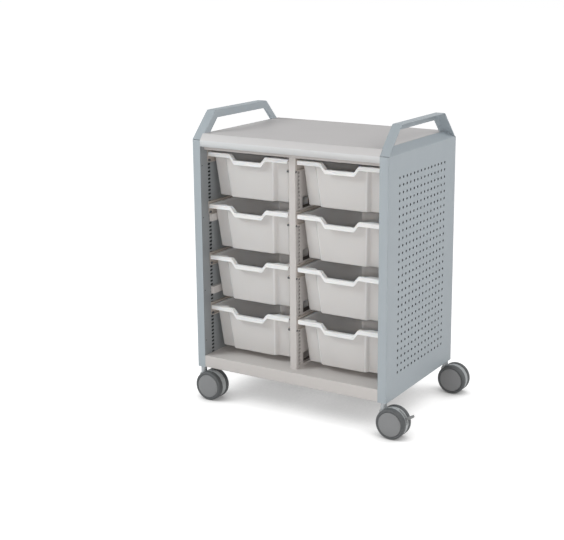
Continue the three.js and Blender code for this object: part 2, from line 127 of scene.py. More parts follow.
# Holes: a grid in the side panels, slot columns in the uprights and the divider, and the divider's windows
HOLE_COLUMN_PITCH = 25.4 * MM
HOLE_ROW_PITCH = 24.13 * MM
HOLE_DIAMETER = 8.8 * MM
HOLE_COLUMNS = 14
HOLE_ROWS = 27
HOLES_FROM_FRONT = 77 * MM
HOLES_ABOVE_BOTTOM = 81.2 * MM
SLOT_PITCH = 12.55 * MM
SLOT_LENGTH = 15 * MM
SLOT_HEIGHT = 7 * MM
SLOT_CELL = 19 * MM
UPRIGHT_SLOT_INSET = 48.5 * MM
DIVIDER_SLOT_INSET = 18.5 * MM
DOT_DIAMETER = 4.5 * MM
DOT_CELL = 9 * MM
DOT_INSET = 10.5 * MM
DOT_HEIGHTS = (90 * MM, 267 * MM, 520 * MM, 698 * MM, 755 * MM)
WINDOW_INSET = 44 * MM
WINDOW_LENGTH = 72 * MM
WINDOW_ROWS = 3
WINDOW_RISE = 15 * MM
BACKING_GAP = 3 * MM

# Moulded tray, from the middle of its rim's front edge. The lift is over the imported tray, and a pale share
# is how far a face goes to the rim's tone.
TRAY_WIDTH = 309 * MM
TRAY_DEPTH = 427 * MM
TRAY_HEIGHT = 149 * MM
TRAY_LIFT = 1.5 * MM
TRAY_WALL = 2.5 * MM
RIM_THICKNESS = 3.5 * MM
RIM_OVERHANG = 6.7 * MM
RIM_CORNER = 4 * MM
RIM_EDGE = 1.3 * MM
BAND_HEIGHT = 14 * MM
BAND_THICKNESS = 3 * MM
BAND_HOLLOW = 0.7 * MM
BAND_FADE = (0.3 * MM, 3.5 * MM)
BAND_SECTION = ((0.18, 0), (0.3, 1), (0.7, 1), (0.82, 0))
PANEL_RECESS = 11 * MM
CORNER_RECESS = 24 * MM
PANEL_HALF = 92 * MM
PANEL_STEP = 9 * MM
PANEL_SOFT = 9 * MM
PANEL_EDGE = 4 * MM
TUB_CORNER = 8 * MM
TUB_FOOT = 3 * MM
SIDE_TAPER = 11.5 * MM
FRONT_TAPER = 18 * MM
REAR_TAPER = 8 * MM
NOTCH_TOP = 69 * MM
NOTCH_BOTTOM = 52 * MM
NOTCH_DEPTH = 21 * MM
NOTCH_CORNER = 6 * MM
# The first two pale shares are painted: light on the inside of the tub, and a highlight along the edges of
# the front panel
INSIDE_PAINTED_LIGHT = 0.5
PANEL_EDGE_HIGHLIGHT = 0.7
UNDER_RIM_PALE = 0.6
RUNNER_EDGE = 0.7 * MM

# Dark plug in the hollow of each runner's front end, as painted shade of the hollow; its drop is from the
# top of the tray's rim
SHADE_PLUG_RADIUS = 4 * MM
SHADE_PLUG_LENGTH = 6 * MM
SHADE_PLUG_DROP = 26.5 * MM
SHADE_PLUG_INSET = 6.3 * MM

# Studs that hold the inner runners to the divider, just below them
STUD_RADIUS = 3.8 * MM
STUD_LENGTHS = {"left": 8.5 * MM, "right": 2 * MM}
STUD_DROP = 37 * MM
STUD_INSET = 4 * MM

# Pan-head screws of the back panel, with the radius and height of each point of a head
SCREW_INSET = 9 * MM
SCREW_COLUMNS = 2
SCREW_ROWS = 7
SCREW_HEAD = [(0, 0), (4.2 * MM, 0), (4.2 * MM, 0.6 * MM), (3.2 * MM, 1.7 * MM), (1.5 * MM, 2.2 * MM),
              (0, 2.2 * MM)]

# Caster
WHEEL_RADIUS = 50 * MM
WHEEL_WIDTH = 19 * MM
WHEEL_DOME = 4 * MM
TREAD_SHOULDER = 7 * MM
TREAD_BASE = 4 * MM
TREAD_STEP = 1 * MM
TREAD_LIP = 0.8 * MM
TREAD_HEEL = 1.2 * MM
DISC_RADIUS = 39.6 * MM
DISC_EDGE = 2.5 * MM
CORE_RADIUS = 48 * MM
AXLE_BORE = 6.3 * MM
AXLE_DEPTH = 14 * MM
WHEEL_SIDES = 72
STEM_EDGE = 0.8 * MM
HOOD_RADIUS = 45 * MM
HOOD_CREST = 48.5 * MM
HOOD_MARGIN = 0.5 * MM
HOOD_EDGE = 1.2 * MM
LEVER_PIVOT = Vector((26, 0, 8)) * MM
LEVER_TILT = math.radians(29)
PEDAL_START = 25 * MM
PEDAL_SWELL = 1.9
PEDAL_EDGE = 1.2 * MM

# How far light goes inside a moulded wall, and how much a grain changes the gloss
THROUGH_REACH = 3 * MM
GLOSS_DRIFT = 0.05

# The attribute and the tone of the hollows in the sides and the uprights: painted shade, dark so that their
# holes and slots show black
HOLLOW_SHADE = ("inside", "#1e2123")


def linear(colour):
    """Linear RGBA of an sRGB hex value."""
    channels = [int(colour[i:i + 2], 16) / 255 for i in (1, 3, 5)]
    return (*[c / 12.92 if c <= 0.04045 else ((c + 0.055) / 1.055) ** 2.4 for c in channels], 1)


def add(tree, kind, inputs=None, **settings):
    """A node with its settings, its input values and its links."""
    made = tree.nodes.new(kind)
    for name, value in settings.items():
        setattr(made, name, value)
    for name, value in (inputs or {}).items():
        if isinstance(value, bpy.types.NodeSocket):
            tree.links.new(value, made.inputs[name])
        else:
            made.inputs[name].default_value = value
    return made


def surface(name, colour, shade, patch, grain, grain_depth, roughness, ior,
            metallic=0.0, other=None, through=0.0):
    """A surface that drifts between two tones over patches, with a fine grain in its height and gloss.

    patch and grain are sizes in metres. other is an attribute of the piece and the tone where it is 1, and
    through the share of light that goes on into a thin wall.
    """
    material = bpy.data.materials.new(name)
    material.use_nodes = True
    tree = material.node_tree
    tree.nodes.clear()
    place = add(tree, "ShaderNodeTexCoord").outputs["Object"]
    drift = add(tree, "ShaderNodeTexNoise", {"Vector": place, "Scale": 1 / patch, "Detail": 3})
    tone = add(tree, "ShaderNodeMix", {0: drift.outputs["Fac"], 6: linear(colour), 7: linear(shade)},
               data_type="RGBA").outputs[2]
    if other:
        share = add(tree, "ShaderNodeAttribute", attribute_name=other[0]).outputs["Fac"]
        tone = add(tree, "ShaderNodeMix", {0: share, 6: tone, 7: linear(other[1])},
                   data_type="RGBA").outputs[2]
    pores = add(tree, "ShaderNodeTexNoise", {"Vector": place, "Scale": 1 / grain, "Detail": 2})
    gloss = add(tree, "ShaderNodeMapRange", {"Value": pores.outputs["Fac"], "From Min": 0.3, "From Max": 0.7,
                                             "To Min": roughness - GLOSS_DRIFT,
                                             "To Max": roughness + GLOSS_DRIFT})
    relief = add(tree, "ShaderNodeBump", {"Height": pores.outputs["Fac"], "Distance": grain_depth,
                                          "Strength": 0.5})
    shader = add(tree, "ShaderNodeBsdfPrincipled", {
        "Base Color": tone, "Metallic": metallic, "IOR": ior,
        "Subsurface Weight": through, "Subsurface Radius": (1, 0.85, 0.72),
        "Subsurface Scale": THROUGH_REACH,
        "Roughness": gloss.outputs["Result"], "Normal": relief.outputs["Normal"]})
    add(tree, "ShaderNodeOutputMaterial", {"Surface": shader.outputs["BSDF"]})
    return material


# Powder coat on steel: satin and even, with an orange peel of 1 to 2 mm that is drawn at 5 mm to show
# Its hollow inner face takes the painted shade of the hollows
side_paint = surface("powder_coat_blue_grey", "#a8b2b9", "#aeb8be", 90 * MM, 5 * MM, 0.05 * MM, 0.45, 1.5,
                     other=HOLLOW_SHADE)
# The same coat in a plain neutral grey, a little duller, on the uprights inside the bays, darker than the
# sides partly as painted shade of the bays, with painted shade on its hollow face
upright_paint = surface("powder_coat_plain_grey", "#92979a", "#979c9f", 90 * MM, 5 * MM, 0.05 * MM, 0.48,
                        1.5, other=HOLLOW_SHADE)
# The same coat in a warm light grey, darker inside the divider, where it is painted shade
frame_paint = surface("powder_coat_warm_grey", "#cbc8c6", "#d0cdcb", 90 * MM, 5 * MM, 0.05 * MM, 0.48, 1.5,
                      other=("inside", "#5f5a57"))
# The same coat, matt against glare on the worktop, with painted light that makes its front and rear faces
# paler than the top
worktop_paint = surface("powder_coat_grey_top", "#cac7c7", "#cfcccc", 110 * MM, 5 * MM, 0.05 * MM, 0.5, 1.5,
                        other=("rim", "#dadddf"))
# Moulded polypropylene: a soft sheen on a spark-eroded grain under 1 mm, which is drawn at 3 mm, with some
# light in its walls, paler where the rim is thick, and with painted light inside the tub and a painted
# highlight on the front panel's edges
tray_plastic = surface("polypropylene_pale_grey", "#d2d1d0", "#d6d5d4", 70 * MM, 3 * MM, 0.03 * MM, 0.38,
                       1.49, other=("rim", "#f2f4f5"), through=0.25)
# Extruded ABS: dull and even, its draw marks under 1 mm shown as a grain of 3 mm
runner_plastic = surface("abs_beige", "#bdb6b0", "#c2bbb5", 60 * MM, 3 * MM, 0.02 * MM, 0.5, 1.54)
# Zinc plating on steel: a dull metal under a soft bloom, in patches of about 12 mm
stem_steel = surface("zinc_plated_steel", "#b4b8bb", "#a6abae", 12 * MM, 2 * MM, 0.02 * MM, 0.55, 1.5,
                     metallic=0.85)
# Moulded nylon of the wheel discs: an even mid grey with a low sheen, its fine grain drawn at 2 mm
caster_plastic = surface("nylon_mid_grey", "#848688", "#8a8c8e", 30 * MM, 2 * MM, 0.03 * MM, 0.42, 1.53)
# Moulded nylon of the caster hoods: the same, painted lighter for the light that falls on them from above
hood_plastic = surface("nylon_grey_painted_lighter", "#aeb3b5", "#b3b8ba", 30 * MM, 2 * MM, 0.03 * MM, 0.42, 1.53)
# Cast polyurethane tread: darker and duller than the discs
caster_tread = surface("polyurethane_dark_grey", "#515456", "#585b5d", 20 * MM, 2 * MM, 0.03 * MM, 0.6, 1.5)
# Moulded nylon of the brake pedals: as the discs, a little rubbed
lever_plastic = surface("nylon_rubbed_grey", "#868889", "#8c8e8f", 20 * MM, 2 * MM, 0.03 * MM, 0.45, 1.53)


def piece(name, body, slot, material, mesh, *nodes, smooth=35):
    """A finished piece on its body, in place of the named nodes."""
    obj = bpy.data.objects.new(name, mesh)
    bpy.context.scene.collection.objects.link(obj)
    mesh.materials.clear()
    mesh.materials.append(material)
    mesh.shade_smooth()
    mesh.set_sharp_from_angle(angle=math.radians(smooth))
    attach(obj, body)
    if nodes:
        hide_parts(*nodes)
    return obj


def soften(obj, width, segments=3):
    """Rounds the sharp edges of a piece."""
    bevel = obj.modifiers.new("soft_edges", "BEVEL")
    bevel.width = width
    bevel.segments = segments
    bevel.limit_method = "ANGLE"
    bevel.angle_limit = math.radians(35)
    return obj


def welded(name, *parts):
    """One mesh from parts, with its seams closed and its faces out.

    Each part is a mesh, or its points, its faces and, for a sheet round a hollow, which points are inside.
    """
    shape = bmesh.new()
    for part in parts:
        if isinstance(part, tuple):
            points, faces, *inside = part
            mesh = bpy.data.meshes.new(name)
            mesh.from_pydata(points, [], faces)
            if inside:
                mesh.attributes.new("inside", "FLOAT", "POINT").data.foreach_set("value", inside[0])
        else:
            mesh = part
        shape.from_mesh(mesh)
        bpy.data.meshes.remove(mesh)
    bmesh.ops.remove_doubles(shape, verts=shape.verts, dist=SEAM)
    bmesh.ops.dissolve_degenerate(shape, edges=shape.edges, dist=SEAM / 2)
    bmesh.ops.recalc_face_normals(shape, faces=shape.faces)
    mesh = bpy.data.meshes.new(name)
    shape.to_mesh(mesh)
    shape.free()
    return mesh


def carried_over(node):
    """A clean copy of a node's solid: triangles joined again into flat faces."""
    shape = bmesh.new()
    shape.from_mesh(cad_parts[node].data)
    bmesh.ops.remove_doubles(shape, verts=shape.verts, dist=SEAM / 4)
    bmesh.ops.dissolve_limit(shape, angle_limit=math.radians(1), verts=shape.verts, edges=shape.edges)
    points = [v.co.copy() for v in shape.verts]
    shape.verts.index_update()
    faces = [[v.index for v in f.verts] for f in shape.faces]
    shape.free()
    return points, faces


def rounded(corners, radius, steps=BEND_STEPS, closed=False):
    """The path through the corners, with each bend an arc."""
    corners = [Vector(c) for c in corners]
    path = []
    for i, corner in enumerate(corners):
        if not closed and i in (0, len(corners) - 1):
            path.append(corner)
            continue
        to_last = (corners[i - 1] - corner).normalized()
        to_next = (corners[(i + 1) % len(corners)] - corner).normalized()
        half = to_last.angle(to_next) / 2
        middle = corner + (to_last + to_next).normalized() * (radius / math.sin(half))
        start = corner + to_last * (radius / math.tan(half)) - middle
        end = corner + to_next * (radius / math.tan(half)) - middle
        turn = math.atan2(start.x * end.y - start.y * end.x, start.dot(end))
        path += [middle + Matrix.Rotation(turn * k / steps, 2) @ start for k in range(steps + 1)]
    return path


def moved_left(path, distance, closed=False):
    """The path moved to its left, with mitred corners."""
    count = len(path)
    normals = []
    for i in range(count if closed else count - 1):
        along = (path[(i + 1) % count] - path[i]).normalized()
        normals.append(Vector((-along.y, along.x)))
    moved = []
    for i, point in enumerate(path):
        before = normals[i - 1] if closed or i else normals[0]
        after = normals[i] if i < len(normals) else normals[-1]
        moved.append(point + (before + after) * (distance / (1 + before.dot(after))))
    return moved


def folded_sheet(path, thickness, stations, place, closed=False, fields=(), windows=()):
    """Points and faces of a folded sheet, and which points are inside. The path is one face of it, and the
    inside lies to its left.

    place puts a path point at a station in the frame. A cell is a stretch of the path between two stations:
    those in fields stay open for holed cells, and those in windows are cut through.
    """
    faces_of_sheet = [path, moved_left(path, thickness, closed)]
    points = [place(p, s) for face in faces_of_sheet for p in face for s in stations]
    rows, columns = len(path), len(stations)
    cells = rows if closed else rows - 1
    faces = []

    def at(face, i, j):
        return (face * rows + i % rows) * columns + j

    def shut(i, j):
        return (closed or 0 <= i < cells) and 0 <= j < columns - 1 and (i % rows, j) not in windows

    for i in range(cells):
        for j in range(columns - 1):
            if (i, j) not in windows and (i, j) not in fields:
                for face in (0, 1):
                    faces.append([at(face, i, j), at(face, i + 1, j), at(face, i + 1, j + 1),
                                  at(face, i, j + 1)])
    for i in range(cells + (0 if closed else 1)):
        for j in range(columns - 1):
            if shut(i, j) != shut(i - 1, j):
                faces.append([at(0, i, j), at(0, i, j + 1), at(1, i, j + 1), at(1, i, j)])
    for i in range(cells):
        for j in range(columns):
            if shut(i, j) != shut(i, j - 1):
                faces.append([at(0, i, j), at(0, i + 1, j), at(1, i + 1, j), at(1, i, j)])
    return points, faces, [0.0] * (rows * columns) + [1.0] * (rows * columns)


def box_part(x0, x1, y0, y1, z0, z1):
    """Points and faces of a block."""
    points = [Vector((x, y, z)) for x in (x0, x1) for y in (y0, y1) for z in (z0, z1)]
    faces = [[0, 1, 3, 2], [4, 6, 7, 5], [0, 4, 5, 1], [2, 3, 7, 6], [0, 2, 6, 4], [1, 5, 7, 3]]
    return points, faces


def holed_cell(width, height, hole_length, hole_height, steps=4):
    """A cell of sheet round one hole with round ends: four faces a side, and the wall of the hole.

    It lies in the XY plane, and its thickness is the sheet's.
    """
    right, up = width / 2, height / 2
    corners = [(-right, -up), (right, -up), (right, up), (-right, up)]
    straight = (hole_length - hole_height) / 2
    ring = []
    for k in range(4 * steps):
        angle = math.radians(-135 + 90 * k / steps)
        reach = straight * (1 if math.cos(angle) > 0 else -1)
        ring.append((hole_height / 2 * math.cos(angle) + reach, hole_height / 2 * math.sin(angle)))
    count = 4 + len(ring)
    points = [(x, y, z) for z in (0, SHEET) for x, y in corners + ring]
    faces = []
    for quarter in range(4):
        arc = [4 + (quarter * steps + k) % len(ring) for k in range(steps, -1, -1)]
        outline = [quarter, (quarter + 1) % 4] + arc
        faces.append(outline[::-1])
        faces.append([count + i for i in outline])
    for k in range(len(ring)):
        a, b = 4 + k, 4 + (k + 1) % len(ring)
        faces.append([a, b, count + b, count + a])
    mesh = bpy.data.meshes.new("holed_cell")
    mesh.from_pydata(points, [], faces)
    inside = [0.0] * count + [1.0] * count
    mesh.attributes.new("inside", "FLOAT", "POINT").data.foreach_set("value", inside)
    return mesh


def repeat_grid():
    """Geometry nodes that repeat a shape over a flat grid: holed cells, slots and screws."""
    tree = bpy.data.node_groups.new("repeat_grid", "GeometryNodeTree")
    sockets = {"Shape": "Geometry", "Columns": "Int", "Rows": "Int", "Column pitch": "Float",
               "Row pitch": "Float", "Material": "Material"}
    for name, kind in sockets.items():
        tree.interface.new_socket(name, in_out="INPUT", socket_type=f"NodeSocket{kind}")
    tree.interface.new_socket("Shapes", in_out="OUTPUT", socket_type="NodeSocketGeometry")
    given = add(tree, "NodeGroupInput").outputs
    spans = {}
    for count, pitch in (("Columns", "Column pitch"), ("Rows", "Row pitch")):
        gaps = add(tree, "ShaderNodeMath", {0: given[count], 1: 1.0}, operation="SUBTRACT").outputs[0]
        span = add(tree, "ShaderNodeMath", {0: gaps, 1: given[pitch]}, operation="MULTIPLY")
        spans[count] = span.outputs[0]
    grid = add(tree, "GeometryNodeMeshGrid", {"Size X": spans["Columns"], "Size Y": spans["Rows"],
                                              "Vertices X": given["Columns"], "Vertices Y": given["Rows"]})
    copies = add(tree, "GeometryNodeInstanceOnPoints", {"Points": grid.outputs["Mesh"],
                                                        "Instance": given["Shape"]})
    real = add(tree, "GeometryNodeRealizeInstances", {"Geometry": copies.outputs["Instances"]})
    joined = add(tree, "GeometryNodeMergeByDistance", {"Geometry": real.outputs["Geometry"],
                                                       "Distance": SEAM})
    painted = add(tree, "GeometryNodeSetMaterial", {"Geometry": joined.outputs["Geometry"],
                                                    "Material": given["Material"]})
    add(tree, "NodeGroupOutput", {"Shapes": painted.outputs["Geometry"]})
    return tree


GRID = repeat_grid()


def repeated(shape, columns, rows, column_pitch, row_pitch, material, place):
    """A plain mesh of a shape repeated over a grid, put in the frame by the place matrix."""
    obj = bpy.data.objects.new("repeated", shape)
    bpy.context.scene.collection.objects.link(obj)
    modifier = obj.modifiers.new("repeated", "NODES")
    modifier.node_group = GRID
    values = {"Columns": columns, "Rows": rows, "Column pitch": column_pitch, "Row pitch": row_pitch,
              "Material": material}
    for socket in GRID.interface.items_tree:
        if socket.name in values:
            modifier[socket.identifier] = values[socket.name]
    evaluated = obj.evaluated_get(bpy.context.evaluated_depsgraph_get())
    mesh = bpy.data.meshes.new_from_object(evaluated)
    mesh.transform(place)
    bpy.data.objects.remove(obj)
    return mesh


def upright_plane(x, y, z, side):
    """Matrix from a cell's plane to a wall that faces X.

    Columns run along Y, rows along Z, and the thickness inwards.
    """
    return Matrix(((0, 0, -side, x), (1, 0, 0, y), (0, 1, 0, z), (0, 0, 0, 1)))


def lathe(profile, place, sides=WHEEL_SIDES):
    """Points and faces of a profile of radius and height pairs turned round an axis."""
    points = []
    for radius, height in profile:
        for k in range(sides):
            angle = 2 * math.pi * k / sides
            points.append(place @ Vector((radius * math.cos(angle), radius * math.sin(angle), height)))
    faces = []
    for i in range(len(profile) - 1):
        for k in range(sides):
            after = (k + 1) % sides
            faces.append([i * sides + k, i * sides + after, (i + 1) * sides + after, (i + 1) * sides + k])
    return points, faces


def shoulder_ends(z):
    """Front and rear ends of the shoulder at a height, clear of the handle's legs and the panel's bends."""
    slope = HANDLE_LEG_RUN / (handle_high.z - SHOULDER)
    inwards = max(0, z - SHOULDER) * slope + HANDLE_SHEET * math.hypot(1, slope) + FIT_GAP
    bend = PANEL_BEND + 2 * SHEET
    return max(handle_low.y + inwards, FRONT + bend), min(handle_high.y - inwards, REAR - bend)


def side_panel(name, side):
    """Sheet bent into flanges, a skin with a grid of round holes, and a sloped shoulder."""
    lowest_row = PANEL_BOTTOM + HOLES_ABOVE_BOTTOM
    columns = [FRONT + HOLES_FROM_FRONT + (k - 0.5) * HOLE_COLUMN_PITCH for k in range(HOLE_COLUMNS + 1)]
    rows = [lowest_row + (k - 0.5) * HOLE_ROW_PITCH for k in range(HOLE_ROWS + 1)]
    turn = Vector((HALF_WIDTH - SHOULDER_RUN, WORKTOP_TOP)) - Vector((HALF_WIDTH, SHOULDER))
    tangent = PANEL_BEND * math.tan(turn.angle(Vector((0, 1))) / 2)
    near, far = shoulder_ends(SHOULDER)
    lines = [near - SHEET, near, *columns, far, far + SHEET]
    bends = rounded([(BAY, FRONT), (HALF_WIDTH, FRONT), (HALF_WIDTH, REAR), (BAY, REAR)], PANEL_BEND)
    half = len(bends) // 2
    path = bends[:half] + [Vector((HALF_WIDTH, y)) for y in lines] + bends[half:]
    first = half + lines.index(columns[0])
    stations = [PANEL_BOTTOM, *rows, SHOULDER]
    fields = {(first + i, 1 + j) for i in range(HOLE_COLUMNS) for j in range(HOLE_ROWS)}

    def on_wall(p, z):
        dipped = z == SHOULDER and near <= p.y <= far
        return Vector((CENTRE + side * p.x, p.y, z - tangent if dipped else z))

    wall = folded_sheet(path, SHEET, stations, on_wall, fields=fields)
    cell = holed_cell(HOLE_COLUMN_PITCH, HOLE_ROW_PITCH, HOLE_DIAMETER, HOLE_DIAMETER)
    holes = repeated(cell, HOLE_COLUMNS, HOLE_ROWS, HOLE_COLUMN_PITCH, HOLE_ROW_PITCH, side_paint,
                     upright_plane(CENTRE + side * HALF_WIDTH, (columns[0] + columns[-1]) / 2,
                                   (rows[0] + rows[-1]) / 2, side))
    # The slope starts a hair below its bend, so that the bend has a straight end to start from
    slope = rounded([(HALF_WIDTH, SHOULDER - 1.0001 * tangent), (HALF_WIDTH, SHOULDER),
                     (HALF_WIDTH - SHOULDER_RUN, WORKTOP_TOP)], PANEL_BEND)

    def on_shoulder(p, y):
        front, rear = shoulder_ends(p.y)
        return Vector((CENTRE + side * p.x, front + (y - near) * (rear - front) / (far - near), p.y))

    shoulder = folded_sheet(slope, SHEET, lines[1:-1], on_shoulder)
    mesh = welded(name, wall, holes, shoulder)
    return piece(f"{name}_perforated_side", "cabinet", "side_paint", side_paint, mesh, f"{name}_side_panel")


def slot_lines(low, high):
    """Heights between the slots of a column, on the grid that the trays hang by."""
    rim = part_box("left_tray_1")[1].z + WINDOW_RISE
    first = math.ceil((low - rim) / SLOT_PITCH)
    last = math.floor((high - rim) / SLOT_PITCH)
    return [rim + k * SLOT_PITCH for k in range(first, last + 1)]


def slot_column(x, y, lines, side, material):
    """Slotted cells of one column."""
    cell = holed_cell(SLOT_CELL, SLOT_PITCH, SLOT_LENGTH, SLOT_HEIGHT)
    return repeated(cell, 1, len(lines) - 1, SLOT_CELL, SLOT_PITCH, material,
                    upright_plane(x, y, (lines[0] + lines[-1]) / 2, side))


def slotted_upright(name, side, end):
    """Wide channel that lines half of the side panel, with slots, small round holes and a foot plate."""
    low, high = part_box(f"{name}_upright")
    inner, lip = (low.y, high.y) if end > 0 else (high.y, low.y)
    slot_y = end * (REAR - UPRIGHT_SLOT_INSET)
    dot_y = end * (REAR - DOT_INSET)
    skin = abs((high.x if side > 0 else low.x) - CENTRE)
    lines = slot_lines(low.z + SLOT_PITCH, high.z - SLOT_PITCH)
    stations = [low.z, *lines, high.z]
    web = sorted([slot_y - SLOT_CELL / 2, slot_y + SLOT_CELL / 2,
                  dot_y - DOT_CELL / 2, dot_y + DOT_CELL / 2], reverse=end < 0)
    corners = [(skin, inner), (BAY, inner), (BAY, lip), (BAY + UPRIGHT_LIP, lip)]
    bends = rounded(corners, TIGHT_BEND)
    half = len(bends) // 2
    path = bends[:half] + [Vector((BAY, y)) for y in web] + bends[half:]
    thickness = SHEET if end < 0 else -SHEET
    slots = {(half, 1 + j) for j in range(len(lines) - 1)}
    dots = {min(range(1, len(lines)), key=lambda j: abs((stations[j] + stations[j + 1]) / 2 - low.z - z))
            for z in DOT_HEIGHTS}
    fields = slots | {(half + 2, j) for j in dots}
    x = CENTRE + side * BAY
    wall = folded_sheet(path, thickness, stations, lambda p, z: Vector((CENTRE + side * p.x, p.y, z)),
                        fields=fields)
    parts = [wall, slot_column(x, slot_y, lines, -side, upright_paint)]
    for j in dots:
        dot = holed_cell(DOT_CELL, SLOT_PITCH, DOT_DIAMETER, DOT_DIAMETER)
        dot.transform(upright_plane(x, dot_y, (stations[j] + stations[j + 1]) / 2, -side))
        parts.append(dot)
    plate_x = sorted((CENTRE + side * (BAY + SHEET), CENTRE + side * skin))
    plate_y = sorted((end * (REAR - FOOT_DEPTH), end * (REAR - PANEL_BEND)))
    parts.append(box_part(*plate_x, *plate_y, low.z, low.z + 2 * SHEET))
    return piece(f"{name}_upright_slotted", "cabinet", "side_paint", upright_paint, welded(name, *parts),
                 f"{name}_upright")


def centre_divider():
    """Hollow upright between the bays, with windows, slot columns and bars behind the slots.

    Along each side the cells are slots, plain, window, plain, window, plain and slots.
    """
    front, rear = divider_low.y, divider_high.y
    half = (divider_high.x - divider_low.x) / 2
    lines = slot_lines(divider_low.z, divider_high.z)
    stations = [divider_low.z, *lines, divider_high.z]
    columns = (front + DIVIDER_SLOT_INSET, rear - DIVIDER_SLOT_INSET)
    openings = ((front + WINDOW_INSET, front + WINDOW_INSET + WINDOW_LENGTH),
                (rear - WINDOW_INSET - WINDOW_LENGTH, rear - WINDOW_INSET))
    slot_cells, window_cells = (0, 6), (2, 4)
    bounds_y = sorted([y + e * SLOT_CELL / 2 for y in columns for e in (-1, 1)]
                      + [y for opening in openings for y in opening])
    ring = rounded([(-half, front), (half, front), (half, rear), (-half, rear)], TIGHT_BEND / 2, closed=True)
    quarter = len(ring) // 4
    right = [Vector((half, y)) for y in bounds_y]
    left = [Vector((-half, y)) for y in reversed(bounds_y)]
    path = ring[:2 * quarter] + right + ring[2 * quarter:] + left
    sides = (2 * quarter, 4 * quarter + len(right))
    fields = {(start + i, 1 + j) for start in sides for i in slot_cells for j in range(len(lines) - 1)}
    sills = [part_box(f"left_tray_{level}")[1].z + WINDOW_RISE for level in LEVELS[1:]]
    sills.append(sills[-1] - (sills[0] - sills[1]))
    window_rows = {j for j in range(len(stations) - 1) for sill in sills
                   if sill < (stations[j] + stations[j + 1]) / 2 < sill + WINDOW_ROWS * SLOT_PITCH}
    windows = {(start + i, j) for start in sides for i in window_cells for j in window_rows}
    wall = folded_sheet(path, SHEET, stations, lambda p, z: Vector((CENTRE + p.x, p.y, z)), closed=True,
                        fields=fields, windows=windows)
    slots = [slot_column(CENTRE + side * half, y, lines, side, frame_paint)
             for side in SIDES.values() for y in columns]
    core = half - SHEET - BACKING_GAP
    bars = [box_part(CENTRE - core, CENTRE + core, y - SLOT_CELL / 2, y + SLOT_CELL / 2,
                     divider_low.z, divider_high.z) for y in columns]
    mesh = welded("divider", wall, *slots, *bars)
    return piece("slotted_divider", "cabinet", "frame_paint", frame_paint, mesh, "centre_divider")


def worktop():
    """Pan with a chamfered front and rear edge, drawn in at its ends between the handles."""
    lower_half = (worktop_high.x - worktop_low.x) / 2
    upper_half = handle_low.x - CENTRE - FIT_GAP
    depth = (REAR - FRONT) / 2
    edge = rounded([(depth, WORKTOP_BOTTOM), (depth, SHOULDER), (depth - WORKTOP_CHAMFER, WORKTOP_TOP),
                    (depth - WORKTOP_CHAMFER - WORKTOP_EAR, WORKTOP_TOP)], WORKTOP_EDGE)
    section = edge + [Vector((-p.x, p.y)) for p in reversed(edge)]
    inner_end = edge[-1].x
    points = []
    for end in (-1, 1):
        for p in section:
            half = upper_half if abs(p.x) <= inner_end else lower_half
            points.append(Vector((CENTRE + end * half, (FRONT + REAR) / 2 + p.x, p.y)))
    count = len(section)
    faces = [[i, i + 1, count + i + 1, count + i] for i in range(count - 1)]
    faces += [list(range(count)), list(range(count, 2 * count))]
    mesh = bpy.data.meshes.new("worktop")
    mesh.from_pydata(points, [], faces)
    # Painted light: the front and rear faces go fully to the paler tone, the chamfers partly, the top not at
    # all
    rims = [0.0 if abs(p.x) <= inner_end else 1.0 if p.y <= SHOULDER else CHAMFER_PAINTED_LIGHT for p in section] * 2
    mesh.attributes.new("rim", "FLOAT", "POINT").data.foreach_set("value", rims)
    obj = piece("worktop_pan", "cabinet", "worktop_paint", worktop_paint, welded("worktop", mesh), "worktop")
    wall = obj.modifiers.new("wall", "SOLIDIFY")
    wall.thickness = WORKTOP_SHELL
    wall.offset = -1
    wall.use_even_offset = True
    return obj


def across(name, corners, node):
    """Folded sheet that runs across the cabinet between the side panels."""
    path = rounded(corners, TIGHT_BEND)
    half = BAY - FIT_GAP
    points, faces, _ = folded_sheet(path, SHEET, (CENTRE - half, CENTRE + half),
                                    lambda p, x: Vector((x, p.x, p.y)))
    return piece(name, "cabinet", "frame_paint", frame_paint, welded(name, (points, faces)), node)


def bottom_shelf():
    """Pan with a lip and a return front and rear."""
    low, high = shelf_low.z, shelf_high.z
    rear, front = REAR - SHELF_RETURN, FRONT + SHELF_RETURN
    return across("bottom_shelf_pan", [(rear, low), (REAR, low), (REAR, high), (FRONT, high), (FRONT, low),
                                       (front, low)], "bottom_shelf")


def header_rail():
    """Channel under the front edge of the worktop."""
    front, rear = header_low.y, header_high.y
    low, high = header_low.z, header_high.z
    return across("header_channel", [(rear, high), (front, high), (front, low), (rear, low)], "header_rail")


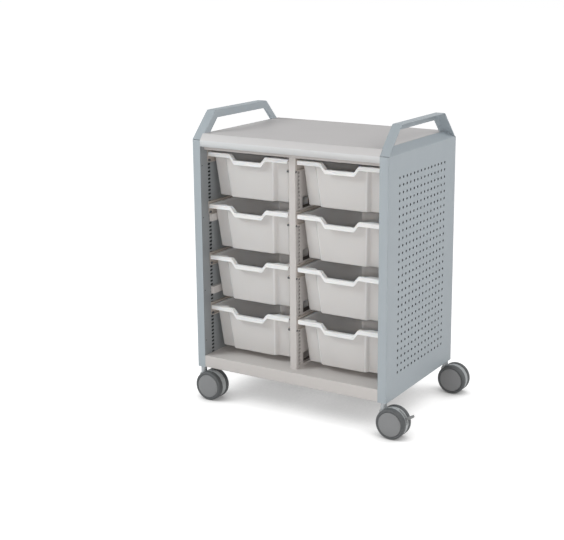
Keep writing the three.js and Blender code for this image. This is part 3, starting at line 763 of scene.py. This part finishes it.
def push_handle(name, side):
    """Angle bent into two legs and a bar, with round bends and its cheek towards the worktop."""
    top, foot = handle_high.z, SHOULDER + HANDLE_SEAM
    front, rear = handle_low.y, handle_high.y
    low = SHOULDER - HANDLE_CHEEK * (top - SHOULDER) / HANDLE_LEG_RUN
    corners = [Vector((rear + HANDLE_CHEEK, low)), Vector((rear - HANDLE_LEG_RUN, top)),
               Vector((front + HANDLE_LEG_RUN, top)), Vector((front - HANDLE_CHEEK, low))]
    half = (handle_high.x - handle_low.x) / 2
    middle = CENTRE + side * ((handle_low.x + handle_high.x) / 2 - CENTRE)
    angle = [(-half, HANDLE_CHEEK), (-half, 0), (half, 0)]
    if side < 0:
        angle = [(-half, 0), (half, 0), (half, HANDLE_CHEEK)]
    outer = rounded(angle, HANDLE_EDGE)
    section = outer + moved_left(outer, HANDLE_SHEET)[::-1]
    lines = []
    for p in section:
        line = rounded(moved_left(corners, p.y), max(HANDLE_BEND - p.y, HANDLE_INNER_BEND), steps=8)
        for end, ahead in ((0, 1), (-1, -2)):
            line[end] = line[end].lerp(line[ahead], (foot - line[end].y) / (line[ahead].y - line[end].y))
        lines.append([Vector((middle + p.x, q.x, q.y)) for q in line])
    count, length = len(lines), len(lines[0])
    points = [p for line in lines for p in line]
    faces = []
    for i in range(count):
        start, after = i * length, (i + 1) % count * length
        faces += [[start + k, start + k + 1, after + k + 1, after + k] for k in range(length - 1)]
    faces += [[i * length for i in range(count)], [i * length + length - 1 for i in range(count)]]
    return piece(f"{name}_push_handle", "cabinet", "side_paint", side_paint, welded(name, (points, faces)),
                 f"{name}_handle")


def eased(share):
    """A smooth step from 0 to 1."""
    share = min(1, max(0, share))
    return share * share * (3 - 2 * share)


def between(path, x):
    """Height of a path at a place along it."""
    for a, b in zip(path, path[1:]):
        if a.x <= x <= b.x:
            return a.y + (b.y - a.y) * (x - a.x) / (b.x - a.x)
    return path[-1].y if x > 0 else path[0].y


def tray_stations():
    """Places round the rim of a tray, from the front's left end.

    Each is a rim point, a tub point for a drop and an inset, the dip of the rim, the height of its band, and
    how near the edge of the front panel is.
    """
    half, rim_half = TRAY_WIDTH / 2 - RIM_OVERHANG, TRAY_WIDTH / 2
    flat_end, rim_end = half - TUB_CORNER, rim_half - RIM_CORNER
    step_end = PANEL_HALF + PANEL_STEP
    notch = rounded([(-rim_end, 0), (-NOTCH_TOP, 0), (-NOTCH_BOTTOM, NOTCH_DEPTH),
                     (NOTCH_BOTTOM, NOTCH_DEPTH), (NOTCH_TOP, 0), (rim_end, 0)], NOTCH_CORNER)
    plan = rounded([(-flat_end, CORNER_RECESS), (-step_end, CORNER_RECESS), (-PANEL_HALF, PANEL_RECESS),
                    (PANEL_HALF, PANEL_RECESS), (step_end, CORNER_RECESS), (flat_end, CORNER_RECESS)],
                   PANEL_SOFT)
    stations = []

    def front_tub(x):
        side, away = math.copysign(1, x), abs(x)
        squeeze = (flat_end - step_end) / (rim_end - step_end)
        at_top = away if away <= step_end else step_end + (away - step_end) * squeeze
        recess = between(plan, side * at_top)
        pull = min(1, away / PANEL_HALF)
        return lambda drop, inset: (side * (at_top - (SIDE_TAPER * drop + inset) * pull),
                                    recess + FRONT_TAPER * drop + inset)

    for x in sorted({p.x for p in notch} | {p.x for p in plan[1:-1]}):
        edge = eased(1 - abs(abs(x) - PANEL_HALF) / PANEL_EDGE)
        stations.append(((x, 0), front_tub(x), between(notch, x), BAND_HEIGHT, edge))

    def corner_tub(side, end, angle):
        def at(drop, inset):
            radius = TUB_CORNER - inset
            edge = half - SIDE_TAPER * drop - inset - radius
            near = CORNER_RECESS + FRONT_TAPER * drop + inset + radius
            far = TRAY_DEPTH - RIM_OVERHANG - REAR_TAPER * drop - inset - radius
            return (side * edge + radius * math.cos(angle),
                    (near if end < 0 else far) + radius * math.sin(angle))
        return at

    for quarter, (side, end) in enumerate(((1, -1), (1, 1), (-1, 1), (-1, -1))):
        for k in range(7):
            angle = math.radians(-90 + 90 * quarter + 15 * k)
            rim = (side * rim_end + RIM_CORNER * math.cos(angle),
                   (RIM_CORNER if end < 0 else TRAY_DEPTH - RIM_CORNER) + RIM_CORNER * math.sin(angle))
            fade = eased((rim[1] - BAND_FADE[0]) / (BAND_FADE[1] - BAND_FADE[0]))
            band = BAND_HEIGHT + (RIM_THICKNESS - BAND_HEIGHT) * fade
            stations.append((rim, corner_tub(side, end, angle), 0, band, 0))
    return stations


def tray_mesh():
    """Tub with a proud front panel, a flat rim and a front band that dips in a finger notch."""
    arc = [(math.sin(math.radians(a)), 1 - math.cos(math.radians(a))) for a in (0, 30, 60, 90)]
    points, faces, rims = [], [], []
    stations = tray_stations()
    middle = (sum(s[0][0] for s in stations) / len(stations), TRAY_DEPTH / 2)
    for rim, tub, dip, band, edge in stations:
        row = []

        def on_tub(z, inset, share=0.0):
            row.append((*tub(-z / TRAY_HEIGHT, inset), z, share))

        def on_rim(z, inset, share=1.0):
            if abs(rim[1]) < SEAM:
                inward = Vector((0, 1))
            elif RIM_CORNER < rim[1] < TRAY_DEPTH - RIM_CORNER:
                inward = Vector((-math.copysign(1, rim[0]), 0))
            else:
                inward = Vector((middle[0] - rim[0], middle[1] - rim[1])).normalized()
            row.append((rim[0] + inward.x * inset, rim[1] + inward.y * inset, z, share))

        floor = -TRAY_HEIGHT + TRAY_WALL
        # Inside of the tub: paler, a painted light
        for s, c in arc:
            on_tub(floor + TUB_FOOT * c, TRAY_WALL + TUB_FOOT * (1 - s), INSIDE_PAINTED_LIGHT)
        on_tub(-TRAY_HEIGHT / 2, TRAY_WALL, INSIDE_PAINTED_LIGHT)
        on_tub(-dip - 3 * RIM_THICKNESS, TRAY_WALL, INSIDE_PAINTED_LIGHT)
        for s, c in arc:
            on_tub(-dip - RIM_EDGE * (1 - s), TRAY_WALL - RIM_EDGE * c, 1.0)
        for s, c in arc:
            on_rim(-dip - RIM_EDGE * c, RIM_EDGE * (1 - s))
        hollow = BAND_HOLLOW * (band - RIM_THICKNESS) / (BAND_HEIGHT - RIM_THICKNESS)
        for share, depth in BAND_SECTION:
            on_rim(-dip - RIM_EDGE - (band - 2 * RIM_EDGE) * share, hollow * depth)
        for s, c in arc:
            on_rim(-dip - band + RIM_EDGE * (1 - s), RIM_EDGE * c)
        on_rim(-dip - band, BAND_THICKNESS)
        on_rim(-dip - RIM_THICKNESS, BAND_THICKNESS)
        on_tub(-dip - RIM_THICKNESS, 0, UNDER_RIM_PALE)
        # Outside of the tub: a painted highlight along the edges of the front panel
        on_tub(-dip - 3 * RIM_THICKNESS, 0, PANEL_EDGE_HIGHLIGHT * edge)
        on_tub(-TRAY_HEIGHT / 2, 0, PANEL_EDGE_HIGHLIGHT * edge)
        for s, c in reversed(arc):
            on_tub(-TRAY_HEIGHT + TUB_FOOT * c, TUB_FOOT * (1 - s), PANEL_EDGE_HIGHLIGHT * edge)
        points += [p[:3] for p in row]
        rims += [p[3] for p in row]
        width = len(row)
    count = len(stations)
    for i in range(count):
        for j in range(width - 1):
            after = (i + 1) % count * width
            faces.append([i * width + j, after + j, after + j + 1, i * width + j + 1])
    faces += [[i * width for i in range(count)], [i * width + width - 1 for i in range(count)]]
    mesh = bpy.data.meshes.new("tray")
    mesh.from_pydata(points, [], faces)
    mesh.attributes.new("rim", "FLOAT", "POINT").data.foreach_set("value", rims)
    return welded("tray", mesh)


def trays():
    """The eight trays, each on its own body."""
    for name in SIDES:
        for level in LEVELS:
            node = f"{name}_tray_{level}"
            low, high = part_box(node)
            mesh = tray_mesh()
            mesh.transform(Matrix.Translation(((low.x + high.x) / 2, low.y, high.z + TRAY_LIFT)))
            piece(f"{node}_tub", node, "tray_plastic", tray_plastic, mesh, node, smooth=40)


def carried_pieces():
    """Straps, runners and the back panel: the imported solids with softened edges."""
    rigid = {f"{side}_{height}_strap": ("frame_paint", frame_paint, STRAP_EDGE)
             for side in SIDES for height in ("lower", "upper")}
    rigid |= {f"{side}_{place}_runner_{level}": ("runner_plastic", runner_plastic, RUNNER_EDGE)
              for side in SIDES for place in ("outer", "inner") for level in LEVELS}
    rigid["back_panel"] = ("frame_paint", frame_paint, BACK_EDGE)
    for node, (slot, material, edge) in rigid.items():
        mesh = welded(node, carried_over(node))
        soften(piece(f"{node}_soft", "cabinet", slot, material, mesh, node), edge, 2)


def tread_profile():
    """Soft ring of a wheel: a lip round the disc, a round shoulder, a heel and a seat on the core."""
    seat, rim = DISC_RADIUS + FIT_GAP, CORE_RADIUS + FIT_GAP
    face, bend = WHEEL_WIDTH - TREAD_STEP, WHEEL_RADIUS - TREAD_SHOULDER
    profile = rounded([(seat, WHEEL_WIDTH - DISC_EDGE), (seat, face), (bend, face)], TREAD_LIP)[:-1]
    profile += rounded([(bend, WHEEL_WIDTH), (WHEEL_RADIUS, WHEEL_WIDTH), (WHEEL_RADIUS, 0)],
                       TREAD_SHOULDER - FIT_GAP, steps=8)[:-1]
    profile += rounded([(WHEEL_RADIUS, TREAD_BASE), (WHEEL_RADIUS, 0), (rim, 0)], TREAD_HEEL)
    return profile + [(rim, TREAD_BASE), (seat, TREAD_BASE), profile[0]]


def disc_profile():
    """Core of a wheel with the bore for its axle and a domed face."""
    profile = [(0, AXLE_DEPTH), (AXLE_BORE, AXLE_DEPTH), (AXLE_BORE, FIT_GAP), (CORE_RADIUS, FIT_GAP),
               (CORE_RADIUS, TREAD_BASE - FIT_GAP), (DISC_RADIUS, TREAD_BASE - FIT_GAP)]
    dome = [(DISC_RADIUS * share, WHEEL_WIDTH + WHEEL_DOME * (1 - share * share))
            for share in (1, 0.8, 0.6, 0.4, 0.2, 0)]
    return profile + rounded([(DISC_RADIUS, TREAD_BASE), dome[0], dome[1]], DISC_EDGE, steps=6) + dome[2:]


def raised_hood(node, axle):
    """Caster hood with its round crest raised nearly to the treads."""
    points, faces = carried_over(node)
    for p in points:
        out = Vector((p.x - axle.x, 0, p.z - axle.z))
        if abs(out.length - HOOD_RADIUS) < HOOD_MARGIN:
            p += out * (HOOD_CREST / out.length - 1)
    return welded(node, (points, faces))


def brake_pedal(node, axle):
    """Brake lever that swells towards its tip, where the foot presses."""
    points, faces = carried_over(node)
    along = Vector((math.cos(LEVER_TILT), 0, math.sin(LEVER_TILT)))
    upwards = Vector((-math.sin(LEVER_TILT), 0, math.cos(LEVER_TILT)))
    for p in points:
        arm = p - axle - LEVER_PIVOT
        if arm.dot(along) > PEDAL_START:
            p += upwards * (arm.dot(upwards) * (PEDAL_SWELL - 1))
    return welded(node, (points, faces))


def caster(place, side, end):
    """Stem, hood, two wheels and, on one diagonal, a brake pedal."""
    wheel_low, wheel_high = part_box(f"{place}_caster_front_wheel")
    axle = (wheel_low + wheel_high) / 2
    body = f"{place}_swivel"
    node = f"{place}_caster_stem"
    mesh = welded(node, carried_over(node))
    soften(piece(f"{place}_stem", "cabinet", "stem_steel", stem_steel, mesh, node), STEM_EDGE)
    node = f"{place}_caster_hood"
    mesh = raised_hood(node, axle)
    soften(piece(f"{place}_hood", body, "caster_plastic", hood_plastic, mesh, node), HOOD_EDGE)
    for face_name, face in ENDS.items():
        node = f"{place}_caster_{face_name}_wheel"
        low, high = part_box(node)
        inner = high.y if face < 0 else low.y
        turn = Matrix.Translation((axle.x, inner, axle.z)) @ Matrix.Rotation(-face * math.pi / 2, 4, "X")
        wheel = f"{place}_{face_name}_wheel"
        tread = welded(node, lathe(tread_profile(), turn))
        piece(f"{wheel}_tread", wheel, "caster_tread", caster_tread, tread, node)
        disc = welded(node, lathe(disc_profile(), turn))
        piece(f"{wheel}_disc", wheel, "caster_plastic", caster_plastic, disc)
    if end * side < 0:
        node = f"{place}_brake_lever"
        mesh = brake_pedal(node, axle)
        pedal = piece(f"{place}_pedal", f"{place}_brake", "lever_plastic", lever_plastic, mesh, node)
        soften(pedal, PEDAL_EDGE)


def turned_pin(radius, length):
    """A short round pin with soft edges, from its seat up."""
    profile = rounded([(0, 0), (radius, 0), (radius, length), (0, length)], radius / 5, steps=2)
    return welded("pin", lathe(profile, Matrix.Identity(4), sides=16))


def runner_studs_and_shade_plugs():
    """Dark plugs in the front ends of the outer runners as painted shade of their hollows, and studs on the
    divider below the inner ones.
    """
    rims = [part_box(f"left_tray_{level}")[1].z for level in LEVELS]
    middle, pitch = (rims[0] + rims[-1]) / 2, rims[0] - rims[1]
    columns = []
    for name, side in SIDES.items():
        low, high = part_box(f"{name}_outer_runner_1")
        x = (high.x if side > 0 else low.x) - side * SHADE_PLUG_INSET
        out = (Matrix.Translation((x, low.y + SHADE_PLUG_LENGTH, middle - SHADE_PLUG_DROP))
               @ Matrix.Rotation(math.pi / 2, 4, "X"))
        shade_plug = turned_pin(SHADE_PLUG_RADIUS, SHADE_PLUG_LENGTH)
        columns.append(repeated(shade_plug, 1, len(rims), SHADE_PLUG_RADIUS, pitch, caster_tread, out))
        x = divider_high.x if side > 0 else divider_low.x
        out = Matrix(((0, 0, side, x), (side, 0, 0, divider_low.y + STUD_INSET),
                      (0, 1, 0, middle - STUD_DROP), (0, 0, 0, 1)))
        stud = turned_pin(STUD_RADIUS, STUD_LENGTHS[name])
        columns.append(repeated(stud, 1, len(rims), STUD_RADIUS, pitch, caster_tread, out))
    return piece("runner_studs_and_shade_plugs", "cabinet", "caster_tread", caster_tread, welded("runner_studs_and_shade_plugs", *columns))


def back_screws():
    """Pan-head screws round the edge of the back panel."""
    low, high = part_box("back_panel")
    mesh = welded("screw", lathe(SCREW_HEAD, Matrix.Identity(4), sides=12))
    width, height = high.x - low.x - 2 * SCREW_INSET, high.z - low.z - 2 * SCREW_INSET
    out = Matrix.Translation((CENTRE, high.y, (low.z + high.z) / 2)) @ Matrix.Rotation(-math.pi / 2, 4, "X")
    rows = repeated(mesh, SCREW_COLUMNS, SCREW_ROWS, width, height / (SCREW_ROWS - 1), stem_steel, out)
    screws = welded("back_screws", rows)
    return piece("back_panel_screws", "cabinet", "stem_steel", stem_steel, screws)


def outwards(azimuth, elevation):
    """Direction from the unit to a place given by its angle from the front and its angle from the floor."""
    turn, rise = math.radians(azimuth), math.radians(elevation)
    return Vector((math.sin(turn) * math.cos(rise), -math.cos(turn) * math.cos(rise), math.sin(rise)))


def seen_rays(tree):
    """1 for rays that end in the picture: straight from the camera, mirrored or through something clear."""
    path = add(tree, "ShaderNodeLightPath").outputs
    both = add(tree, "ShaderNodeMath", {0: path["Is Camera Ray"], 1: path["Is Glossy Ray"]}, operation="ADD")
    return add(tree, "ShaderNodeMath", {0: both.outputs[0], 1: path["Is Transmission Ray"]}, operation="ADD",
               use_clamp=True).outputs[0]


def studio_floor():
    """Plain pale floor that the camera sees white in the open, with soft shade under and round the unit."""
    mesh = bpy.data.meshes.new("floor")
    corners = ((-1, -1), (1, -1), (1, 1), (-1, 1))
    mesh.from_pydata([(x * FLOOR_REACH, y * FLOOR_REACH, 0) for x, y in corners], [], [[0, 1, 2, 3]])
    floor = bpy.data.objects.new("floor", mesh)
    bpy.context.scene.collection.objects.link(floor)
    pale = bpy.data.materials.new("pale_floor")
    pale.use_nodes = True
    tree = pale.node_tree
    tree.nodes.clear()
    seen = seen_rays(tree)
    glow = seen
    for reach, shade, levels in ((FLOOR_SHADE_REACH, FLOOR_SHADE, FLOOR_GLOW),
                                 (CONTACT_REACH, CONTACT_SHADE, CONTACT_GLOW)):
        open_sky = add(tree, "ShaderNodeAmbientOcclusion", {"Distance": reach}, samples=8).outputs["AO"]
        white = add(tree, "ShaderNodeMapRange", {"Value": open_sky, "From Min": shade[0],
                                                 "From Max": shade[1], "To Min": levels[0],
                                                 "To Max": levels[1]})
        glow = add(tree, "ShaderNodeMath", {0: glow, 1: white.outputs["Result"]},
                   operation="MULTIPLY").outputs[0]
    tone = add(tree, "ShaderNodeMapRange", {"Value": seen, "To Min": FLOOR_TONE, "To Max": FLOOR_SEEN})
    matt = add(tree, "ShaderNodeBsdfDiffuse", {"Color": tone.outputs["Result"]})
    lift = add(tree, "ShaderNodeEmission", {"Color": (1, 1, 1, 1), "Strength": glow})
    both = add(tree, "ShaderNodeAddShader", {0: matt.outputs[0], 1: lift.outputs[0]})
    add(tree, "ShaderNodeOutputMaterial", {"Surface": both.outputs[0]})
    mesh.materials.append(pale)


def studio_light():
    """Low even sky that the camera sees white, and the soft boxes."""
    world = bpy.data.worlds.new("studio")
    bpy.context.scene.world = world
    world.use_nodes = True
    tree = world.node_tree
    tree.nodes.clear()
    level = add(tree, "ShaderNodeMapRange", {"Value": seen_rays(tree), "To Min": SKY_LEVEL, "To Max": 1.0})
    sky = add(tree, "ShaderNodeBackground", {"Color": (1, 1, 1, 1), "Strength": level.outputs["Result"]})
    add(tree, "ShaderNodeOutputWorld", {"Surface": sky.outputs[0]})
    for name, azimuth, elevation, level, spread, tint in LIGHTS:
        lamp = bpy.data.lights.new(name, "AREA")
        lamp.shape = "DISK"
        lamp.color = linear(tint)[:3]
        radius = LIGHT_DISTANCE * math.tan(math.radians(spread / 2))
        lamp.size = 2 * radius
        lamp.energy = level * math.pi ** 2 * (LIGHT_DISTANCE ** 2 + radius ** 2)
        obj = bpy.data.objects.new(name, lamp)
        back = outwards(azimuth, elevation)
        obj.location = Vector((CENTRE, 0, LIGHT_AIM)) + back * LIGHT_DISTANCE
        obj.rotation_mode = "QUATERNION"
        obj.rotation_quaternion = (-back).to_track_quat("-Z", "Y")
        obj.visible_camera = False
        bpy.context.scene.collection.objects.link(obj)


def photo_camera():
    """Camera at the photograph's viewing angle."""
    data = bpy.data.cameras.new("camera")
    data.sensor_width = CAMERA_SENSOR
    data.lens = CAMERA_LENS
    data.shift_x, data.shift_y = CAMERA_SHIFT
    camera = bpy.data.objects.new("camera", data)
    back = outwards(CAMERA_AZIMUTH, CAMERA_ELEVATION)
    camera.location = Vector((CENTRE, 0, 0)) + CAMERA_AIM + back * CAMERA_DISTANCE
    camera.rotation_mode = "QUATERNION"
    camera.rotation_quaternion = (-back).to_track_quat("-Z", "Y")
    bpy.context.scene.collection.objects.link(camera)
    bpy.context.scene.camera = camera


bpy.context.scene.view_settings.view_transform = "Standard"
photo_camera()
studio_floor()
studio_light()
for side_name, side_sign in SIDES.items():
    side_panel(side_name, side_sign)
    push_handle(side_name, side_sign)
    for end_name, end_sign in ENDS.items():
        slotted_upright(f"{end_name}_{side_name}", side_sign, end_sign)
        caster(f"{end_name}_{side_name}", side_sign, end_sign)
centre_divider()
worktop()
bottom_shelf()
header_rail()
trays()
carried_pieces()
runner_studs_and_shade_plugs()
back_screws()
